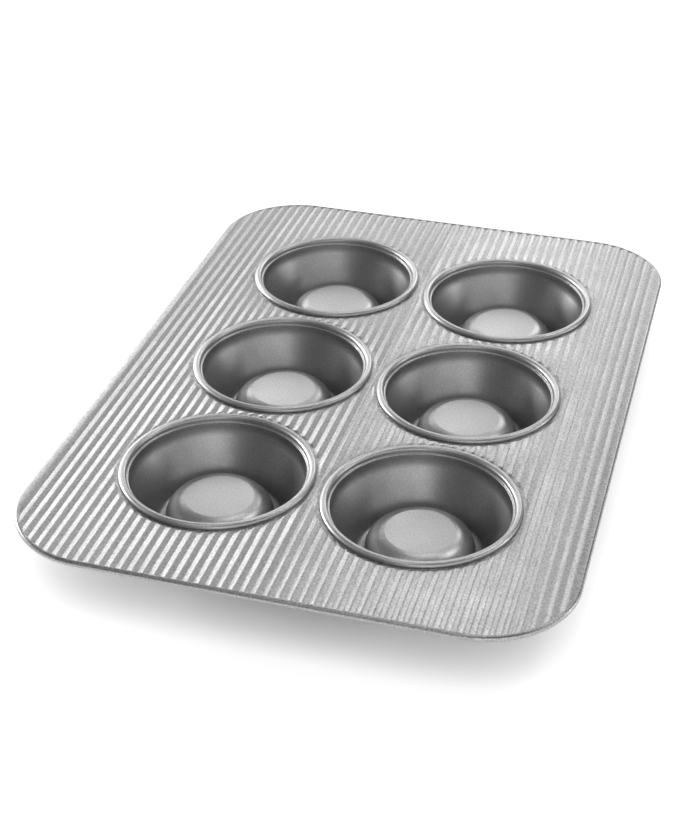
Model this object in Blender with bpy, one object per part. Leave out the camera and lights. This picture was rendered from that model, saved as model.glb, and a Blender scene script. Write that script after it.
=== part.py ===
"""A brownie bowl pan: six domed cups crimped into one grooved deck whose edge is rolled round a wire.

Metres, +Z up, standing on the cups' floors at Z = 0. The pan's length runs along Y, its width
along X. Every sheet is drawn as its upper face and then given its thickness below that face.
"""

from math import ceil, cos, floor, pi, radians, sin, sqrt, tan

import bmesh
import bpy
from mathutils import Matrix, Vector
from mathutils.geometry import delaunay_2d_cdt

# Sheet, wire and the clearance between two pieces that touch
SHEET = 0.0007
WIRE_DIAMETER = 0.0014
CLEARANCE = 0.0003

# Layout of the cups on the deck
ROWS = ("front", "middle", "back")
COLUMNS = ("left", "right")
BRIDGE_ACROSS = 0.0056
BRIDGE_ALONG = 0.0068
SIDE_MARGIN = 0.0369
END_MARGIN = 0.0408

# Deck: its border and crests lie at one height, and the grooves are pressed down from it
DECK_HEIGHT = 0.0333
CORNER_RADIUS = 0.0480
GROOVE_PITCH = 0.00557
GROOVE_DEPTH = 0.0008
GROOVE_RUN_OUT = 0.0012
SIDE_BAND = 0.0030
END_BAND = 0.0004
CREST_RUN_OUT = 0.0016
HOLE_EDGE_DROP = 0.0013
CURL_WRAP = radians(250)

# Cup rim
RIM_RADIUS = 0.0508
RIM_BEAD_WIDTH = 0.0042
RIM_LEDGE = 0.0010
RIM_LEDGE_DROP = 0.0012
RIM_SEAT_MARGIN = 0.0006

# Cup body
NECK_HEIGHT = 0.0060
NECK_SHOULDER = 0.0004
WALL_LEAN = 0.0037
WALL_FOOT_FILLET = 0.0100
CHANNEL_WIDTH = 0.0132
DOME_FOOT_FILLET = 0.0018
DOME_LEAN = 0.0003
DOME_HEIGHT = 0.0154
DOME_SHOULDER = 0.0115

# Facets
CUP_SEGMENTS = 24
CORNER_SEGMENTS = 6
BEAD_SEGMENTS = 3
CURL_SEGMENTS = 7
FILLET_FACET = 0.0061

# Derived sizes
CUP_PITCH_ACROSS = 2 * RIM_RADIUS + BRIDGE_ACROSS
CUP_PITCH_ALONG = 2 * RIM_RADIUS + BRIDGE_ALONG
PAN_WIDTH = 2 * SIDE_MARGIN + 2 * RIM_RADIUS + (len(COLUMNS) - 1) * CUP_PITCH_ACROSS
PAN_LENGTH = 2 * END_MARGIN + 2 * RIM_RADIUS + (len(ROWS) - 1) * CUP_PITCH_ALONG
BEAD_RADIUS = RIM_BEAD_WIDTH / 2
BEAD_STEP = pi / BEAD_SEGMENTS
NECK_RADIUS = RIM_RADIUS - RIM_BEAD_WIDTH - RIM_LEDGE
COLLAR_RADIUS = NECK_RADIUS + SHEET + CLEARANCE
SEAT_RADIUS = RIM_RADIUS + RIM_SEAT_MARGIN
SEAT_HEIGHT = DECK_HEIGHT - GROOVE_DEPTH
CREST_STOP_RADIUS = SEAT_RADIUS + CREST_RUN_OUT
ROLL_RADIUS = WIRE_DIAMETER / 2 + CLEARANCE + SHEET


def clear_scene():
    for obj in list(bpy.data.objects):
        bpy.data.objects.remove(obj, do_unlink=True)


def steel(name, colour, roughness):
    material = bpy.data.materials.new(name)
    material.use_nodes = True
    shader = material.node_tree.nodes["Principled BSDF"]
    shader.inputs["Base Color"].default_value = (*colour, 1.0)
    shader.inputs["Metallic"].default_value = 1.0
    shader.inputs["Roughness"].default_value = roughness
    return material


def add_object(name, data, material):
    obj = bpy.data.objects.new(name, data)
    bpy.context.scene.collection.objects.link(obj)
    if not data.materials:
        data.materials.append(material)
    return obj


def give_thickness(obj):
    """Turns the sheet's upper face into sheet metal, with the metal below that face."""
    modifier = obj.modifiers.new("sheet", "SOLIDIFY")
    modifier.thickness = SHEET
    modifier.offset = -1.0
    modifier.use_even_offset = True
    modifier.use_rim = True


def cup_centres():
    """Each cup's name and its axis, row by row from the front."""
    for row, row_name in enumerate(ROWS):
        for column, column_name in enumerate(COLUMNS):
            x = (column - (len(COLUMNS) - 1) / 2) * CUP_PITCH_ACROSS
            y = (row - (len(ROWS) - 1) / 2) * CUP_PITCH_ALONG
            yield f"cup_{row_name}_{column_name}", x, y


def filleted(corners):
    """The outline through corners (radius, height, fillet), each fillet drawn as an arc."""
    points = [Vector(corners[0][:2])]
    for before, corner, after in zip(corners, corners[1:], corners[2:]):
        here, fillet = Vector(corner[:2]), corner[2]
        if not fillet:
            points.append(here)
            continue
        back = (Vector(before[:2]) - here).normalized()
        ahead = (Vector(after[:2]) - here).normalized()
        half = back.angle(ahead) / 2
        centre = here + (back + ahead).normalized() * fillet / sin(half)
        spoke = here + back * fillet / tan(half) - centre
        turn = pi - 2 * half
        if back.cross(ahead) > 0:
            turn = -turn
        steps = ceil(abs(turn) * fillet / FILLET_FACET)
        points += [centre + Matrix.Rotation(turn * i / steps, 2) @ spoke for i in range(steps + 1)]
    points.append(Vector(corners[-1][:2]))
    return points


def polar(radius, angle):
    return Vector((radius * cos(angle), radius * sin(angle)))


def seat_height(radius):
    """Height of the ring under a cup's rim, which dips from the grooves' level to the collar."""
    share = (SEAT_RADIUS - radius) / (SEAT_RADIUS - COLLAR_RADIUS)
    return SEAT_HEIGHT - share * HOLE_EDGE_DROP


def cup_profile():
    """The cup's upper face from the middle of the dome to the rim's outer end."""
    bead_middle = RIM_RADIUS - BEAD_RADIUS
    under_end = Vector((BEAD_RADIUS, 0.0)) - polar(SHEET, BEAD_STEP / 2)
    bead_height = seat_height(bead_middle + under_end.x) + CLEARANCE - under_end.y
    neck_bottom = SEAT_HEIGHT - NECK_HEIGHT
    wall_top = NECK_RADIUS - NECK_SHOULDER
    wall_foot = wall_top - WALL_LEAN
    dome_foot = wall_foot - CHANNEL_WIDTH
    body = filleted([
        (0.0, SHEET + DOME_HEIGHT, 0),
        (dome_foot - DOME_LEAN, SHEET + DOME_HEIGHT, DOME_SHOULDER),
        (dome_foot, SHEET, DOME_FOOT_FILLET),
        (wall_foot, SHEET, WALL_FOOT_FILLET),
        (wall_top, neck_bottom - NECK_SHOULDER, 0),
        (NECK_RADIUS, neck_bottom, 0),
        (NECK_RADIUS, bead_height - RIM_LEDGE_DROP, 0),
    ])
    centre = Vector((bead_middle, bead_height))
    return body + [centre + polar(BEAD_RADIUS, pi - BEAD_STEP * i) for i in range(BEAD_SEGMENTS + 1)]


def cup_mesh():
    """Turns the profile once round the cup's axis."""
    bm = bmesh.new()
    verts = [bm.verts.new((point.x, 0.0, point.y)) for point in cup_profile()]
    edges = [bm.edges.new(pair) for pair in zip(verts, verts[1:])]
    bmesh.ops.spin(
        bm, geom=verts + edges, cent=(0, 0, 0), axis=(0, 0, 1), angle=2 * pi, steps=CUP_SEGMENTS, use_merge=True
    )
    bmesh.ops.remove_doubles(bm, verts=bm.verts, dist=1e-6)
    bmesh.ops.recalc_face_normals(bm, faces=bm.faces)
    mesh = bpy.data.meshes.new("cup")
    bm.to_mesh(mesh)
    bm.free()
    mesh.shade_smooth()
    mesh.set_sharp_from_angle(angle=radians(40))
    return mesh


def rounded_outline(inset, height):
    """The deck's rounded outline, moved in by inset from the roll's outside, anticlockwise."""
    radius = CORNER_RADIUS - inset
    points = []
    for quarter, (side_x, side_y) in enumerate(((1, 1), (-1, 1), (-1, -1), (1, -1))):
        x = side_x * (PAN_WIDTH / 2 - CORNER_RADIUS)
        y = side_y * (PAN_LENGTH / 2 - CORNER_RADIUS)
        for i in range(CORNER_SEGMENTS + 1):
            angle = (quarter + i / CORNER_SEGMENTS) * pi / 2
            points.append((x + radius * cos(angle), y + radius * sin(angle), height))
    return points


def circle(x, y, radius, height):
    return [
        (x + radius * cos(2 * pi * i / CUP_SEGMENTS), y + radius * sin(2 * pi * i / CUP_SEGMENTS), height)
        for i in range(CUP_SEGMENTS)
    ]


def outline_reach(x, inset):
    """How far along Y the faceted outline lies at this X, once moved in by inset."""
    corner = rounded_outline(inset, 0.0)[: CORNER_SEGMENTS + 1]
    for (outer_x, outer_y, _), (inner_x, inner_y, _) in zip(corner, corner[1:]):
        if inner_x < abs(x) <= outer_x:
            return outer_y + (inner_y - outer_y) * (outer_x - abs(x)) / (outer_x - inner_x)
    return PAN_LENGTH / 2 - inset


def clear_runs(x, reach):
    """The stretches of a crest or groove line at this X that no cup interrupts."""
    start = -reach
    for _, cup_x, cup_y in sorted(cup_centres(), key=lambda cup: cup[2]):
        offset = abs(x - cup_x)
        if offset >= CREST_STOP_RADIUS:
            continue
        half_chord = sqrt(CREST_STOP_RADIUS**2 - offset**2)
        if cup_y - half_chord > start:
            yield start, cup_y - half_chord
        start = cup_y + half_chord
    if reach > start:
        yield start, reach


class Plan:
    """Points and edges in the deck's plane, each point with its height, to be triangulated."""

    def __init__(self):
        self.points = []
        self.edges = []

    def add(self, point):
        self.points.append(point)
        return len(self.points) - 1

    def line(self, points):
        indices = [self.add(point) for point in points]
        self.edges += zip(indices, indices[1:])

    def loop(self, points):
        indices = [self.add(point) for point in points]
        self.edges += zip(indices, indices[1:] + indices[:1])


def deck_plan():
    """The deck's edge, holes, crests and grooves, from one outermost crest to the other."""
    plan = Plan()
    plan.loop(rounded_outline(ROLL_RADIUS, DECK_HEIGHT))
    for _, x, y in cup_centres():
        plan.loop(circle(x, y, SEAT_RADIUS, SEAT_HEIGHT))
    field = PAN_WIDTH - 2 * (ROLL_RADIUS + SIDE_BAND)
    grooves = floor(field / GROOVE_PITCH)
    crest_foot = []
    for i in range(2 * grooves + 1):
        x = (i - grooves) * GROOVE_PITCH / 2
        crest_foot.append((x, outline_reach(x, ROLL_RADIUS + END_BAND), DECK_HEIGHT))
        depth, run_out = (GROOVE_DEPTH, GROOVE_RUN_OUT) if i % 2 else (0.0, 0.0)
        for start, end in clear_runs(x, outline_reach(x, ROLL_RADIUS + END_BAND + run_out)):
            plan.line([(x, start, DECK_HEIGHT - depth), (x, end, DECK_HEIGHT - depth)])
    plan.loop(crest_foot + [(x, -y, height) for x, y, height in reversed(crest_foot)])
    return plan


def on_deck(point):
    """Whether a point of the triangulated plan is on the sheet, not in a hole or past a corner."""
    for _, x, y in cup_centres():
        if (point.xy - Vector((x, y))).length < SEAT_RADIUS * cos(pi / CUP_SEGMENTS):
            return False
    return abs(point.y) < outline_reach(point.x, ROLL_RADIUS)


def add_rows(bm, first_row, rows):
    """Carries a closed row of points on through further rows, as faces turned like the deck's."""
    previous = first_row
    for row in rows:
        following = [bm.verts.new(point) for point in row]
        for i in range(len(row)):
            j = (i + 1) % len(row)
            bm.faces.new((previous[i], following[i], following[j], previous[j]))
        previous = following


def collar_rows(x, y):
    """The deck's hole edge, dipped under the cup's rim, bent down its neck and in under its shoulder."""
    lip_top = SEAT_HEIGHT - NECK_HEIGHT - CLEARANCE
    lip_radius = COLLAR_RADIUS - NECK_SHOULDER
    return [
        circle(x, y, COLLAR_RADIUS, SEAT_HEIGHT - HOLE_EDGE_DROP),
        circle(x, y, COLLAR_RADIUS, lip_top),
        circle(x, y, lip_radius, lip_top - NECK_SHOULDER),
    ]


def curl_rows():
    """The deck's edge, rolled outwards and round under the wire."""
    rows = []
    for i in range(1, CURL_SEGMENTS + 1):
        angle = CURL_WRAP * i / CURL_SEGMENTS
        inset = ROLL_RADIUS * (1 - sin(angle))
        rows.append(rounded_outline(inset, DECK_HEIGHT - ROLL_RADIUS * (1 - cos(angle))))
    return rows


def deck_mesh():
    plan = deck_plan()
    flat = [Vector(point[:2]) for point in plan.points]
    placed, _, faces, sources, _, _ = delaunay_2d_cdt(flat, plan.edges, [], 0, 1e-7)
    bm = bmesh.new()
    verts = []
    for point, source in zip(placed, sources):
        verts.append(bm.verts.new((point.x, point.y, plan.points[source[0]][2])))
    for face in faces:
        corners = [verts[i] for i in face]
        middle = sum((vert.co for vert in corners), Vector()) / len(corners)
        if on_deck(middle):
            bm.faces.new(corners)
    by_plan = {index: verts[i] for i, source in enumerate(sources) for index in source}
    outline_size = 4 * (CORNER_SEGMENTS + 1)
    add_rows(bm, [by_plan[i] for i in range(outline_size)], curl_rows())
    for number, (_, x, y) in enumerate(cup_centres()):
        start = outline_size + number * CUP_SEGMENTS
        hole = [by_plan[start + i] for i in range(CUP_SEGMENTS)]
        add_rows(bm, hole, collar_rows(x, y))
    bmesh.ops.recalc_face_normals(bm, faces=bm.faces)
    mesh = bpy.data.meshes.new("deck")
    bm.to_mesh(mesh)
    bm.free()
    mesh.shade_smooth()
    mesh.set_sharp_from_angle(angle=radians(25))
    return mesh


def wire_curve():
    """The wire's centre line, one closed loop inside the roll."""
    curve = bpy.data.curves.new("rim_wire", "CURVE")
    curve.dimensions = "3D"
    curve.bevel_depth = WIRE_DIAMETER / 2
    curve.bevel_resolution = 1
    points = rounded_outline(ROLL_RADIUS, DECK_HEIGHT - ROLL_RADIUS)
    spline = curve.splines.new("POLY")
    spline.points.add(len(points) - 1)
    for target, point in zip(spline.points, points):
        target.co = (*point, 1.0)
    spline.use_cyclic_u = True
    return curve


def build():
    clear_scene()
    sheet_steel = steel("aluminised_sheet", (0.62, 0.62, 0.62), 0.38)
    cup_steel = steel("drawn_cup_steel", (0.56, 0.56, 0.57), 0.34)
    wire_steel = steel("wire_steel", (0.45, 0.45, 0.46), 0.45)
    give_thickness(add_object("deck", deck_mesh(), sheet_steel))
    add_object("rim_wire", wire_curve(), wire_steel)
    shape = cup_mesh()
    for name, x, y in cup_centres():
        cup = add_object(name, shape, cup_steel)
        cup.location = (x, y, 0.0)
        give_thickness(cup)


build()
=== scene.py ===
from math import ceil, cos, hypot, pi, radians, sin, sqrt, tan

import bmesh
import bpy
from mathutils import Matrix, Vector
from mathutils.geometry import delaunay_2d_cdt


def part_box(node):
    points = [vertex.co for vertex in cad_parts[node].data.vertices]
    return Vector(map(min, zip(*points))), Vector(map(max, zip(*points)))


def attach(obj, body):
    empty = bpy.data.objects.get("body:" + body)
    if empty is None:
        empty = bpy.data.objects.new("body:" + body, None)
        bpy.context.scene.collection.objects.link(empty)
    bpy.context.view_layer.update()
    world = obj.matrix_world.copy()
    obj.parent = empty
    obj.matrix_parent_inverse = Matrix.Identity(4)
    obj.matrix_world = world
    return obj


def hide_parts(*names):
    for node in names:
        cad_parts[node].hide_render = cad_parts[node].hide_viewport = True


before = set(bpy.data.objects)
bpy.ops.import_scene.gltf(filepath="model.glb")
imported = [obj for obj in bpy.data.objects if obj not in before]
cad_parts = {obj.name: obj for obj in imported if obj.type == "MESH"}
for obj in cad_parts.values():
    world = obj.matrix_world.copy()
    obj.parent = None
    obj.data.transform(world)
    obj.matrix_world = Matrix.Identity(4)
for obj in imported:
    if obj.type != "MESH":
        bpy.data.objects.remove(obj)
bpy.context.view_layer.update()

# Deck: one sheet of aluminised steel that holds the whole pan together. Straight grooves are
# pressed into it inside a narrow flat border, its six holes are turned down round the cups' necks,
# and its edge is rolled outwards and under, round a wire.
SHEET = 0.0007
PAN_WIDTH = 0.2826
PAN_LENGTH = 0.4000
CORNER_RADIUS = 0.0480
ROLL_RADIUS = 0.0017
ROLL_TURN = radians(250)
DECK_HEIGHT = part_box("deck")[1][2]

GROOVES = 49
GROOVE_PITCH = 0.00557
GROOVE_DEPTH = 0.0008
GROOVE_SHIFT = -0.00025
GROOVE_END = 0.0018
GROOVE_RUN_OUT = 0.0008
CREST_ROUND = 0.00045
VALLEY_ROUND = 0.00020

SEAT_RADIUS = 0.0516
SEAT_HEIGHT = DECK_HEIGHT - GROOVE_DEPTH
CREST_RUN_OUT = 0.0019
HOLE_RADIUS = 0.0476
HOLE_STEP = 0.0019
COLLAR_RADIUS = 0.0466
COLLAR_DEPTH = 0.0063
COLLAR_TUCK = 0.0002
COLLAR_BEND = 0.0003

ROUND_STEPS = 144
CORNER_STEPS = 20
ROLL_STEPS = 18
RUN_OUT_STEPS = 6
LAYOUT_TOLERANCE = 1e-7

GRAIN_SCALE = 1000.0
CLOUD_SCALE = 60.0
NOISE_DETAIL = 3.0
NOISE_LOW = 0.3
NOISE_HIGH = 0.7
# Faces whose normal leans from the first of these to the second get more and more painted shade,
# and more roughness.
GENTLE_NORMAL_Z = 0.78
STEEP_NORMAL_Z = 0.40


def middle_of(cup):
    """Where the cup's axis stands on the deck."""
    low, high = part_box(cup)
    return Vector(((low[0] + high[0]) / 2, (low[1] + high[1]) / 2))


cup_axes = {node: middle_of(node) for node in sorted(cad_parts) if node.startswith("cup_")}


def groove_depth(x):
    """Depth of the pressed grooves across the pan: flat flanks, round crests, tighter floors."""
    half = GROOVE_PITCH / 2
    slope = GROOVE_DEPTH / half
    inside = GROOVES * half - abs(x - GROOVE_SHIFT)
    if inside < CREST_ROUND:
        return slope * max(inside + CREST_ROUND, 0.0) ** 2 / (4 * CREST_ROUND)
    off_crest = abs((inside / GROOVE_PITCH + 0.5) % 1.0 - 0.5) * GROOVE_PITCH
    off_floor = half - off_crest
    if off_crest < CREST_ROUND:
        return slope * (off_crest**2 + CREST_ROUND**2) / (2 * CREST_ROUND)
    if off_floor < VALLEY_ROUND:
        return GROOVE_DEPTH - slope * (off_floor**2 + VALLEY_ROUND**2) / (2 * VALLEY_ROUND)
    return slope * off_crest


def reach(x, inset):
    """How far along the pan its rounded outline lies at this x, once moved in by inset."""
    radius = CORNER_RADIUS - inset
    past = abs(x) - (PAN_WIDTH / 2 - CORNER_RADIUS)
    if past <= 0:
        return PAN_LENGTH / 2 - inset
    return PAN_LENGTH / 2 - CORNER_RADIUS + sqrt(max(radius**2 - past**2, 0.0))


def outline(inset, height):
    """The pan's rounded outline, moved in by inset, anticlockwise."""
    radius = CORNER_RADIUS - inset
    points = []
    for quarter, (side_x, side_y) in enumerate(((1, 1), (-1, 1), (-1, -1), (1, -1))):
        centre_x = side_x * (PAN_WIDTH / 2 - CORNER_RADIUS)
        centre_y = side_y * (PAN_LENGTH / 2 - CORNER_RADIUS)
        for i in range(CORNER_STEPS + 1):
            angle = (quarter + i / CORNER_STEPS) * pi / 2
            points.append((centre_x + radius * cos(angle), centre_y + radius * sin(angle), height))
    return points


def ring(centre, radius, height):
    """A level circle of points round a cup's axis."""
    angles = [2 * pi * i / ROUND_STEPS for i in range(ROUND_STEPS)]
    return [(centre.x + radius * cos(a), centre.y + radius * sin(a), height) for a in angles]


def ease(share):
    """A smooth step from 0 to 1."""
    share = min(max(share, 0.0), 1.0)
    return share**2 * (3 - 2 * share)


def edge_distance(x, y):
    """How far a place on the deck lies inside the pan's rounded outline."""
    past_x = abs(x) - (PAN_WIDTH / 2 - CORNER_RADIUS)
    past_y = abs(y) - (PAN_LENGTH / 2 - CORNER_RADIUS)
    if past_x > 0 and past_y > 0:
        return CORNER_RADIUS - hypot(past_x, past_y)
    return CORNER_RADIUS - max(past_x, past_y)


def pressed_height(x, y):
    """The deck's upper face: grooves that rise to the pan's edge, crests that fall to the seats."""
    depth = groove_depth(x) * ease((edge_distance(x, y) - GROOVE_END) / GROOVE_RUN_OUT)
    crest = GROOVE_DEPTH - depth
    for centre in cup_axes.values():
        crest *= ease(((Vector((x, y)) - centre).length - SEAT_RADIUS) / CREST_RUN_OUT)
    return SEAT_HEIGHT + crest


def across_the_grooves():
    """The lines along which the grooves are drawn: crests, floors and the ends of roundings."""
    half = GROOVE_PITCH / 2
    first = GROOVE_SHIFT - GROOVES * half
    crest = (0.0, CREST_ROUND / 2, CREST_ROUND)
    rise = crest + (half / 2, half - VALLEY_ROUND, half - VALLEY_ROUND / 2)
    steps = rise + (half,) + tuple(GROOVE_PITCH - step for step in reversed(rise[1:]))
    border = (CREST_ROUND, CREST_ROUND / 2)
    lines = [first - step for step in border]
    lines += [first + i * GROOVE_PITCH + step for i in range(GROOVES) for step in steps]
    last = first + GROOVES * GROOVE_PITCH
    return lines + [last] + [last + step for step in reversed(border)]


def runs_along(x):
    """The stretches of one such line, cut by the cups' seats, each as places along the pan."""
    share = [i / RUN_OUT_STEPS for i in range(RUN_OUT_STEPS, -1, -1)]
    ends = [reach(x, GROOVE_END + GROOVE_RUN_OUT * step) for step in share]
    run = [-end for end in reversed(ends)]
    for centre in sorted(cup_axes.values(), key=lambda axis: axis.y):
        aside = abs(x - centre.x)
        radii = [SEAT_RADIUS + CREST_RUN_OUT * step for step in share]
        chords = [sqrt(radius**2 - aside**2) for radius in radii if radius > aside]
        run += [centre.y - chord for chord in chords]
        if aside < SEAT_RADIUS:
            yield run
            run = []
        run += [centre.y + chord for chord in reversed(chords)]
    yield run + ends


def add_rows(bm, row, further_rows):
    """Carries a closed row of points on through further rows."""
    for points in further_rows:
        following = [bm.verts.new(point) for point in points]
        for i in range(len(row)):
            j = (i + 1) % len(row)
            bm.faces.new((row[i], following[i], following[j], row[j]))
        row = following


def collar(centre):
    """The flat seat's inner part, and the hole's edge turned down in a step and round the neck."""
    step = SEAT_HEIGHT - HOLE_STEP
    foot = SEAT_HEIGHT - COLLAR_DEPTH
    return [ring(centre, radius, height) for radius, height in (
        (HOLE_RADIUS + COLLAR_BEND, SEAT_HEIGHT),
        (HOLE_RADIUS, SEAT_HEIGHT - COLLAR_BEND),
        (HOLE_RADIUS, step + COLLAR_BEND),
        (HOLE_RADIUS - COLLAR_BEND, step),
        (COLLAR_RADIUS, step),
        (COLLAR_RADIUS, foot),
        (COLLAR_RADIUS - COLLAR_TUCK, foot - COLLAR_TUCK),
    )]


def edge_roll():
    """The sheet's edge, rolled outwards and round under the wire."""
    rows = []
    for i in range(1, ROLL_STEPS + 1):
        angle = ROLL_TURN * i / ROLL_STEPS
        drop = ROLL_RADIUS * (1 - cos(angle))
        rows.append(outline(ROLL_RADIUS * (1 - sin(angle)), DECK_HEIGHT - drop))
    return rows


def press_deck():
    """Lays out the deck's lines flat, joins them into a sheet and lifts it to the pressed shape."""
    flat, edges, heights = [], [], []

    def lay(points, closed):
        first = len(flat)
        for x, y, height in points:
            flat.append(Vector((x, y)))
            heights.append(height)
        edges.extend((i, i + 1) for i in range(first, len(flat) - 1))
        if closed:
            edges.append((len(flat) - 1, first))

    lay(outline(ROLL_RADIUS, DECK_HEIGHT), closed=True)
    for centre in cup_axes.values():
        lay(ring(centre, SEAT_RADIUS, SEAT_HEIGHT), closed=True)
    for x in across_the_grooves():
        for run in runs_along(x):
            lay([(x, y, pressed_height(x, y)) for y in run], closed=False)
    placed, _, faces, sources, _, _ = delaunay_2d_cdt(flat, edges, [], 0, LAYOUT_TOLERANCE)
    bm = bmesh.new()
    verts = [bm.verts.new((p.x, p.y, heights[origin[0]])) for p, origin in zip(placed, sources)]
    hole = SEAT_RADIUS * cos(pi / ROUND_STEPS)
    for face in faces:
        corners = [verts[i] for i in face]
        middle = sum((vert.co for vert in corners), Vector()).xy / len(corners)
        past_edge = abs(middle.y) > reach(middle.x, ROLL_RADIUS)
        if not past_edge and all((middle - centre).length > hole for centre in cup_axes.values()):
            bm.faces.new(corners)
    by_point = {index: verts[i] for i, origin in enumerate(sources) for index in origin}
    edge_size = 4 * (CORNER_STEPS + 1)
    add_rows(bm, [by_point[i] for i in range(edge_size)], edge_roll())
    for number, centre in enumerate(cup_axes.values()):
        start = edge_size + number * ROUND_STEPS
        add_rows(bm, [by_point[start + i] for i in range(ROUND_STEPS)], collar(centre))
    bmesh.ops.recalc_face_normals(bm, faces=bm.faces)
    mesh = bpy.data.meshes.new("deck_sheet")
    bm.to_mesh(mesh)
    bm.free()
    mesh.shade_smooth()
    return mesh


def give_thickness(piece):
    """The metal lies below the face that was drawn."""
    sheet = piece.modifiers.new("sheet", "SOLIDIFY")
    sheet.thickness = SHEET
    sheet.offset = -1.0
    sheet.use_even_offset = True
    sheet.use_rim = True


def grained_steel(name, pale, dull, smooth, rough, grain, steep_painted_shade, drawn_rough):
    """Matte steel with a fine grain and faint cloudy patches in its sheen. Where a sheet was drawn
    steeply its coat is stretched, so it's rougher there, and its colour is darkened there as
    painted shade."""
    material = bpy.data.materials.new(name)
    material.use_nodes = True
    nodes = material.node_tree.nodes
    links = material.node_tree.links
    shader = nodes["Principled BSDF"]
    shader.inputs["Metallic"].default_value = 1.0
    place = nodes.new("ShaderNodeTexCoord")

    def noise(scale):
        node = nodes.new("ShaderNodeTexNoise")
        node.inputs["Scale"].default_value = scale
        node.inputs["Detail"].default_value = NOISE_DETAIL
        links.new(place.outputs["Object"], node.inputs["Vector"])
        return node

    def spread(source, low, high):
        node = nodes.new("ShaderNodeMapRange")
        node.inputs["From Min"].default_value = NOISE_LOW
        node.inputs["From Max"].default_value = NOISE_HIGH
        node.inputs["To Min"].default_value = low
        node.inputs["To Max"].default_value = high
        links.new(source.outputs["Fac"], node.inputs["Value"])
        return node

    cloud = noise(CLOUD_SCALE)
    fine = noise(GRAIN_SCALE)
    shade = nodes.new("ShaderNodeMix")
    shade.data_type = "RGBA"
    shade.inputs["A"].default_value = (*dull, 1.0)
    shade.inputs["B"].default_value = (*pale, 1.0)
    links.new(spread(fine, 0.0, 1.0).outputs["Result"], shade.inputs["Factor"])
    slope = nodes.new("ShaderNodeSeparateXYZ")
    links.new(nodes.new("ShaderNodeNewGeometry").outputs["Normal"], slope.inputs["Vector"])
    steep = nodes.new("ShaderNodeMapRange")
    steep.inputs["From Min"].default_value = GENTLE_NORMAL_Z
    steep.inputs["From Max"].default_value = STEEP_NORMAL_Z
    links.new(slope.outputs["Z"], steep.inputs["Value"])
    # Painted shade: the colour of steep faces is multiplied darker, standing in for the shade they
    # lie in.
    drawn = nodes.new("ShaderNodeMix")
    drawn.data_type = "RGBA"
    drawn.blend_type = "MULTIPLY"
    drawn.inputs["B"].default_value = (steep_painted_shade, steep_painted_shade, steep_painted_shade, 1.0)
    links.new(steep.outputs["Result"], drawn.inputs["Factor"])
    links.new(shade.outputs["Result"], drawn.inputs["A"])
    links.new(drawn.outputs["Result"], shader.inputs["Base Color"])
    stretched = nodes.new("ShaderNodeMath")
    stretched.operation = "MULTIPLY_ADD"
    stretched.inputs[1].default_value = drawn_rough
    links.new(steep.outputs["Result"], stretched.inputs[0])
    links.new(spread(cloud, smooth, rough).outputs["Result"], stretched.inputs[2])
    links.new(stretched.outputs["Value"], shader.inputs["Roughness"])
    bump = nodes.new("ShaderNodeBump")
    bump.inputs["Strength"].default_value = 1.0
    bump.inputs["Distance"].default_value = grain
    links.new(fine.outputs["Fac"], bump.inputs["Height"])
    links.new(bump.outputs["Normal"], shader.inputs["Normal"])
    return material


# The deck's steep faces, such as the turned-down collars and the rolled edge, get painted shade.
deck_coat = grained_steel(
    "deck_coat", pale=(0.80, 0.80, 0.80), dull=(0.44, 0.44, 0.44), smooth=0.29, rough=0.37,
    grain=0.00002, steep_painted_shade=0.7, drawn_rough=0.1,
)
deck_sheet = bpy.data.objects.new("deck_sheet", press_deck())
bpy.context.scene.collection.objects.link(deck_sheet)
deck_sheet.data.materials.append(deck_coat)
give_thickness(deck_sheet)
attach(deck_sheet, "root")
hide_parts("deck")

# Rim wire: a closed loop of plain drawn steel wire that the deck's edge is rolled round. It keeps
# the thin sheet from twisting, and shows only from below, in the open side of the roll.
wire_steel = grained_steel(
    "wire_steel", pale=(0.46, 0.46, 0.47), dull=(0.38, 0.38, 0.39), smooth=0.40, rough=0.55,
    grain=0.00001, steep_painted_shade=1.0, drawn_rough=0.0,
)
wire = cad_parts["rim_wire"]
wire.data.materials.clear()
wire.data.materials.append(wire_steel)

# Cups: six deep-drawn cups of the same coated steel, each with a dome pressed up in its floor, a
# leaning wall, a straight neck that the deck's collar is crimped round, and a rim rolled over into
# a bead that sits on the flat ring round the deck's hole. Their coat is made paler than the deck's
# as painted light, and darker on steep faces as painted shade.
RIM_RADIUS = 0.0508
RIM_HEIGHT = 0.0024
RIM_TOP = SEAT_HEIGHT + RIM_HEIGHT
BEAD_RADIUS = 0.0021
BEAD_END_ANGLE = radians(-7)
LEDGE = 0.0010
LEDGE_DROP = 0.0012
NECK_DEPTH = 0.0060
NECK_ROUND = 0.0120
WALL_LEAN = 0.0132
WALL_FOOT_ROUND = 0.0034
CHANNEL_WIDTH = 0.0041
DOME_FOOT_ROUND = 0.0014
DOME_LEAN = 0.0003
DOME_HEIGHT = 0.0154
DOME_SHOULDER_ROUND = 0.0115
PLATEAU_RADIUS = 0.0179
PLATEAU_EDGE_DROP = 0.0013
CREASE_ROUND = 0.0003
ARC_STEP = radians(9)
AXIS_TOLERANCE = 1e-6


def rounded_line(corners):
    """The line through corners (radius, height, rounding), each rounding drawn as an arc."""
    points = [Vector(corners[0][:2])]
    for before, corner, after in zip(corners, corners[1:], corners[2:]):
        here, rounding = Vector(corner[:2]), corner[2]
        back = (Vector(before[:2]) - here).normalized()
        ahead = (Vector(after[:2]) - here).normalized()
        half = back.angle(ahead) / 2
        centre = here + (back + ahead).normalized() * rounding / sin(half)
        spoke = here + back * rounding / tan(half) - centre
        turn = pi - 2 * half
        if back.cross(ahead) > 0:
            turn = -turn
        steps = ceil(abs(turn) / ARC_STEP)
        points += [centre + Matrix.Rotation(turn * i / steps, 2) @ spoke for i in range(steps + 1)]
    points.append(Vector(corners[-1][:2]))
    return points


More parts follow.
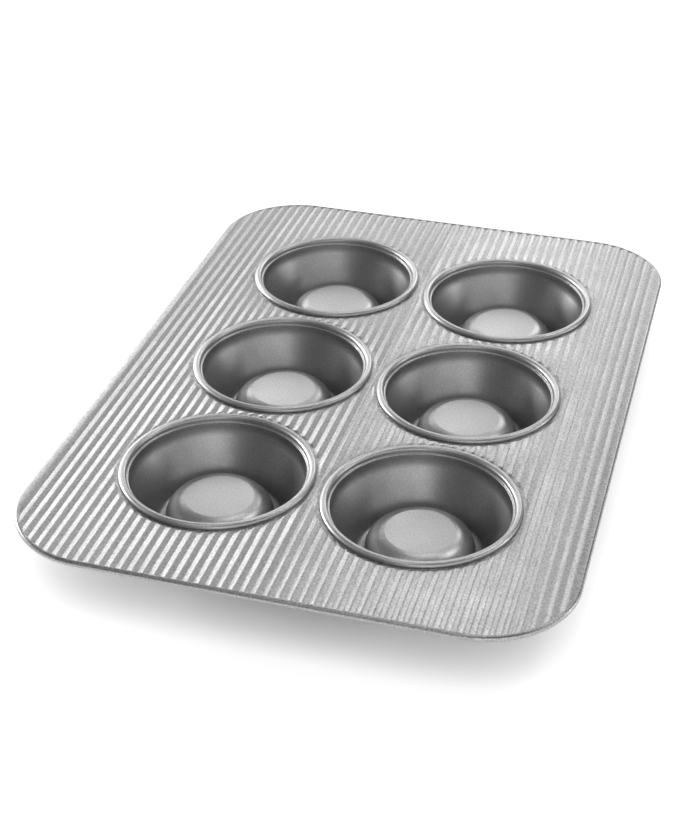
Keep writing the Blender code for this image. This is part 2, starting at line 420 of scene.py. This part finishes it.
def cup_outline():
    """The cup's upper face from the middle of the dome out to the rim's rolled end."""
    bead_middle = Vector((RIM_RADIUS - BEAD_RADIUS, RIM_TOP - BEAD_RADIUS))
    neck = bead_middle.x - BEAD_RADIUS - LEDGE
    ledge = bead_middle.y - LEDGE_DROP
    neck_foot = SEAT_HEIGHT - NECK_DEPTH
    wall_foot = neck - WALL_LEAN
    dome_foot = wall_foot - CHANNEL_WIDTH
    body = rounded_line([
        (0.0, SHEET + DOME_HEIGHT, 0.0),
        (PLATEAU_RADIUS, SHEET + DOME_HEIGHT, CREASE_ROUND),
        (dome_foot - DOME_LEAN, SHEET + DOME_HEIGHT - PLATEAU_EDGE_DROP, DOME_SHOULDER_ROUND),
        (dome_foot, SHEET, DOME_FOOT_ROUND),
        (wall_foot, SHEET, WALL_FOOT_ROUND),
        (neck, neck_foot, NECK_ROUND),
        (neck, ledge, CREASE_ROUND),
        (neck + LEDGE, ledge, CREASE_ROUND),
        (neck + LEDGE, bead_middle.y, 0.0),
    ])
    steps = ceil((pi - BEAD_END_ANGLE) / ARC_STEP)
    for i in range(1, steps + 1):
        angle = pi - (pi - BEAD_END_ANGLE) * i / steps
        body.append(bead_middle + BEAD_RADIUS * Vector((cos(angle), sin(angle))))
    return body


def drawn_cup():
    """Turns the outline once round the cup's axis."""
    bm = bmesh.new()
    verts = [bm.verts.new((point.x, 0.0, point.y)) for point in cup_outline()]
    edges = [bm.edges.new(pair) for pair in zip(verts, verts[1:])]
    bmesh.ops.spin(
        bm, geom=verts + edges, cent=(0, 0, 0), axis=(0, 0, 1), angle=2 * pi,
        steps=ROUND_STEPS, use_merge=True,
    )
    bmesh.ops.remove_doubles(bm, verts=bm.verts, dist=AXIS_TOLERANCE)
    bmesh.ops.recalc_face_normals(bm, faces=bm.faces)
    mesh = bpy.data.meshes.new("drawn_cup")
    bm.to_mesh(mesh)
    bm.free()
    mesh.shade_smooth()
    return mesh


# Painted light and shade: the cups' steel is given a paler colour than the deck's, and its steep
# walls and dome flanks are painted darker.
cup_coat_painted_light_and_shade = grained_steel(
    "cup_coat_painted_light_and_shade", pale=(0.94, 0.94, 0.94), dull=(0.74, 0.74, 0.74), smooth=0.32, rough=0.40,
    grain=0.00001, steep_painted_shade=0.50, drawn_rough=0.06,
)
for node, axis in cup_axes.items():
    cup = bpy.data.objects.new(node.replace("cup", "drawn_cup"), drawn_cup())
    bpy.context.scene.collection.objects.link(cup)
    cup.location = (axis.x, axis.y, 0.0)
    cup.data.materials.append(cup_coat_painted_light_and_shade)
    give_thickness(cup)
    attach(cup, "root")
    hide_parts(node)

# Table: a plain white acrylic top that glows, with a painted shadow where the pan stands over it;
# the pan stands loose on it. It's so wide that its edge is far behind the pan from every side.
TABLE_SIZE = 80.0
TABLE_WHITE = 0.9
# The painted shadow: ambient occlusion within this reach dims the table's glow from the open level
# down to the level under the pan.
COVER_REACH = 0.08
COVER_SAMPLES = 16
COVERED_SHARE = 0.12
OPEN_SHARE = 0.60
PAINTED_SHADOW_GLOW = 0.05
OPEN_GLOW = 0.72


def table_top():
    """One flat square, level with the pan's feet."""
    bm = bmesh.new()
    bmesh.ops.create_grid(bm, x_segments=1, y_segments=1, size=TABLE_SIZE / 2)
    mesh = bpy.data.meshes.new("table_top")
    bm.to_mesh(mesh)
    bm.free()
    return mesh


def glowing_top_with_painted_shadow():
    """White acrylic that glows, with a painted shadow: the glow fades where the pan closely covers
    it.
    """
    material = bpy.data.materials.new("table_white_painted_shadow")
    material.use_nodes = True
    nodes = material.node_tree.nodes
    links = material.node_tree.links
    shader = nodes["Principled BSDF"]
    shader.inputs["Base Color"].default_value = (TABLE_WHITE, TABLE_WHITE, TABLE_WHITE, 1.0)
    shader.inputs["Roughness"].default_value = 0.9
    shader.inputs["Emission Color"].default_value = (1.0, 1.0, 1.0, 1.0)
    # Painted shadow: the glow is dimmed where ambient occlusion finds the pan close above the
    # table.
    painted_shadow_cover = nodes.new("ShaderNodeAmbientOcclusion")
    painted_shadow_cover.samples = COVER_SAMPLES
    painted_shadow_cover.inputs["Distance"].default_value = COVER_REACH
    glow = nodes.new("ShaderNodeMapRange")
    glow.inputs["From Min"].default_value = COVERED_SHARE
    glow.inputs["From Max"].default_value = OPEN_SHARE
    glow.inputs["To Min"].default_value = PAINTED_SHADOW_GLOW
    glow.inputs["To Max"].default_value = OPEN_GLOW
    links.new(painted_shadow_cover.outputs["AO"], glow.inputs["Value"])
    links.new(glow.outputs["Result"], shader.inputs["Emission Strength"])
    return material


table = bpy.data.objects.new("table", table_top())
bpy.context.scene.collection.objects.link(table)
table.data.materials.append(glowing_top_with_painted_shadow())

# Studio: square cards of soft light. The far ones stand in a ring round the pan, and two small ones
# close behind it. The room round them is pale near the table and dark higher up.
RING_RADIUS = 1.6
MIDDLE = Vector((0.0, 0.0, 0.03))
RING_CARDS = (
    # name, azimuth and elevation in degrees, side in metres, power in watts
    ("back_left_card", -30, 25, 0.42, 0.95),
    ("far_left_card", -45, 25, 0.42, 1.05),
    ("back_right_card", 15, 25, 0.42, 1.08),
    ("high_left_card", -15, 40, 0.42, 0.60),
    ("high_middle_card", 15, 40, 0.42, 0.44),
    ("high_right_card", 60, 55, 0.42, 1.6),
    ("overhead_card", 0, 72, 0.50, 1.2),
    ("high_front_card", -165, 65, 0.70, 1.0),
    ("low_left_card", -75, 10, 0.42, 10.0),
    ("left_card", -105, 15, 0.70, 0.7),
    ("low_right_card", 75, 10, 0.42, 2.9),
    ("right_card", 105, 15, 0.70, 1.5),
    ("front_right_card", 135, 15, 0.70, 1.7),
    ("front_card", 165, 15, 0.70, 3.0),
)
NEAR_CARDS = (
    # name, place, what it faces, side in metres, power in watts
    ("near_left_card", (-0.45, 0.30, 0.16), (-0.10, 0.05, 0.03), 0.27, 0.20),
    ("near_back_card", (0.0, 0.55, 0.20), (0.0, 0.10, 0.03), 0.27, 0.16),
)
ROOM_PALE = 0.40
ROOM_DARK = 0.12
ROOM_FADE_END = 0.20


def on_the_ring(azimuth, elevation):
    """The place of a card on the ring; azimuth 0 is behind the pan, 90 on its right."""
    turn, rise = radians(azimuth), radians(elevation)
    return MIDDLE + RING_RADIUS * Vector((sin(turn) * cos(rise), cos(turn) * cos(rise), sin(rise)))


def light_card(name, place, aim, side, power):
    """A square card of soft light that faces the aim."""
    light = bpy.data.lights.new(name, "AREA")
    light.shape = "SQUARE"
    light.size = side
    light.energy = power
    card = bpy.data.objects.new(name, light)
    bpy.context.scene.collection.objects.link(card)
    card.location = place
    card.rotation_euler = (Vector(place) - Vector(aim)).to_track_quat("Z", "Y").to_euler()
    card.visible_camera = False


for card_name, azimuth, elevation, side, power in RING_CARDS:
    light_card(card_name, on_the_ring(azimuth, elevation), MIDDLE, side, power)
for card_name, place, aim, side, power in NEAR_CARDS:
    light_card(card_name, place, aim, side, power)


def pale_room():
    """The walls round the table: pale at its height, and dark higher up where no light falls."""
    world = bpy.data.worlds.new("room")
    world.use_nodes = True
    nodes = world.node_tree.nodes
    links = world.node_tree.links
    height = nodes.new("ShaderNodeSeparateXYZ")
    links.new(nodes.new("ShaderNodeTexCoord").outputs["Generated"], height.inputs["Vector"])
    glow = nodes.new("ShaderNodeMapRange")
    glow.inputs["From Min"].default_value = 0.00
    glow.inputs["From Max"].default_value = ROOM_FADE_END
    glow.inputs["To Min"].default_value = ROOM_PALE
    glow.inputs["To Max"].default_value = ROOM_DARK
    links.new(height.outputs["Z"], glow.inputs["Value"])
    links.new(glow.outputs["Result"], nodes["Background"].inputs["Strength"])
    nodes["Background"].inputs["Color"].default_value = (1.0, 1.0, 1.0, 1.0)
    return world


bpy.context.scene.world = pale_room()
bpy.context.scene.view_settings.view_transform = "Standard"

# Camera: stands where the photograph was taken from, in front and a little to the right. Its place
# was fitted to the pan's outline, rims and grooves.
PICTURE_HEIGHT = 840
SENSOR_WIDTH = 36.0
FOCAL_PIXELS = 1607.6
VIEW_AZIMUTH = radians(15.80)
VIEW_ELEVATION = radians(33.40)
VIEW_ROLL = radians(0.209)
VIEW_DISTANCE = 0.8616
AIM = Vector((-0.0012, -0.0454, 0.0329))


def place_camera():
    """Turns the camera to the aim from the fitted side, height and distance."""
    data = bpy.data.cameras.new("camera")
    data.sensor_width = SENSOR_WIDTH
    data.lens = FOCAL_PIXELS * data.sensor_width / PICTURE_HEIGHT
    camera = bpy.data.objects.new("camera", data)
    bpy.context.scene.collection.objects.link(camera)
    level = cos(VIEW_ELEVATION)
    toward = Vector((sin(VIEW_AZIMUTH) * level, -cos(VIEW_AZIMUTH) * level, sin(VIEW_ELEVATION)))
    right = Vector((0, 0, 1)).cross(toward).normalized()
    upright = Matrix((right, toward.cross(right), toward)).transposed()
    turned = upright @ Matrix.Rotation(VIEW_ROLL, 3, "Z")
    camera.matrix_world = Matrix.Translation(AIM + toward * VIEW_DISTANCE) @ turned.to_4x4()
    bpy.context.scene.camera = camera


place_camera()
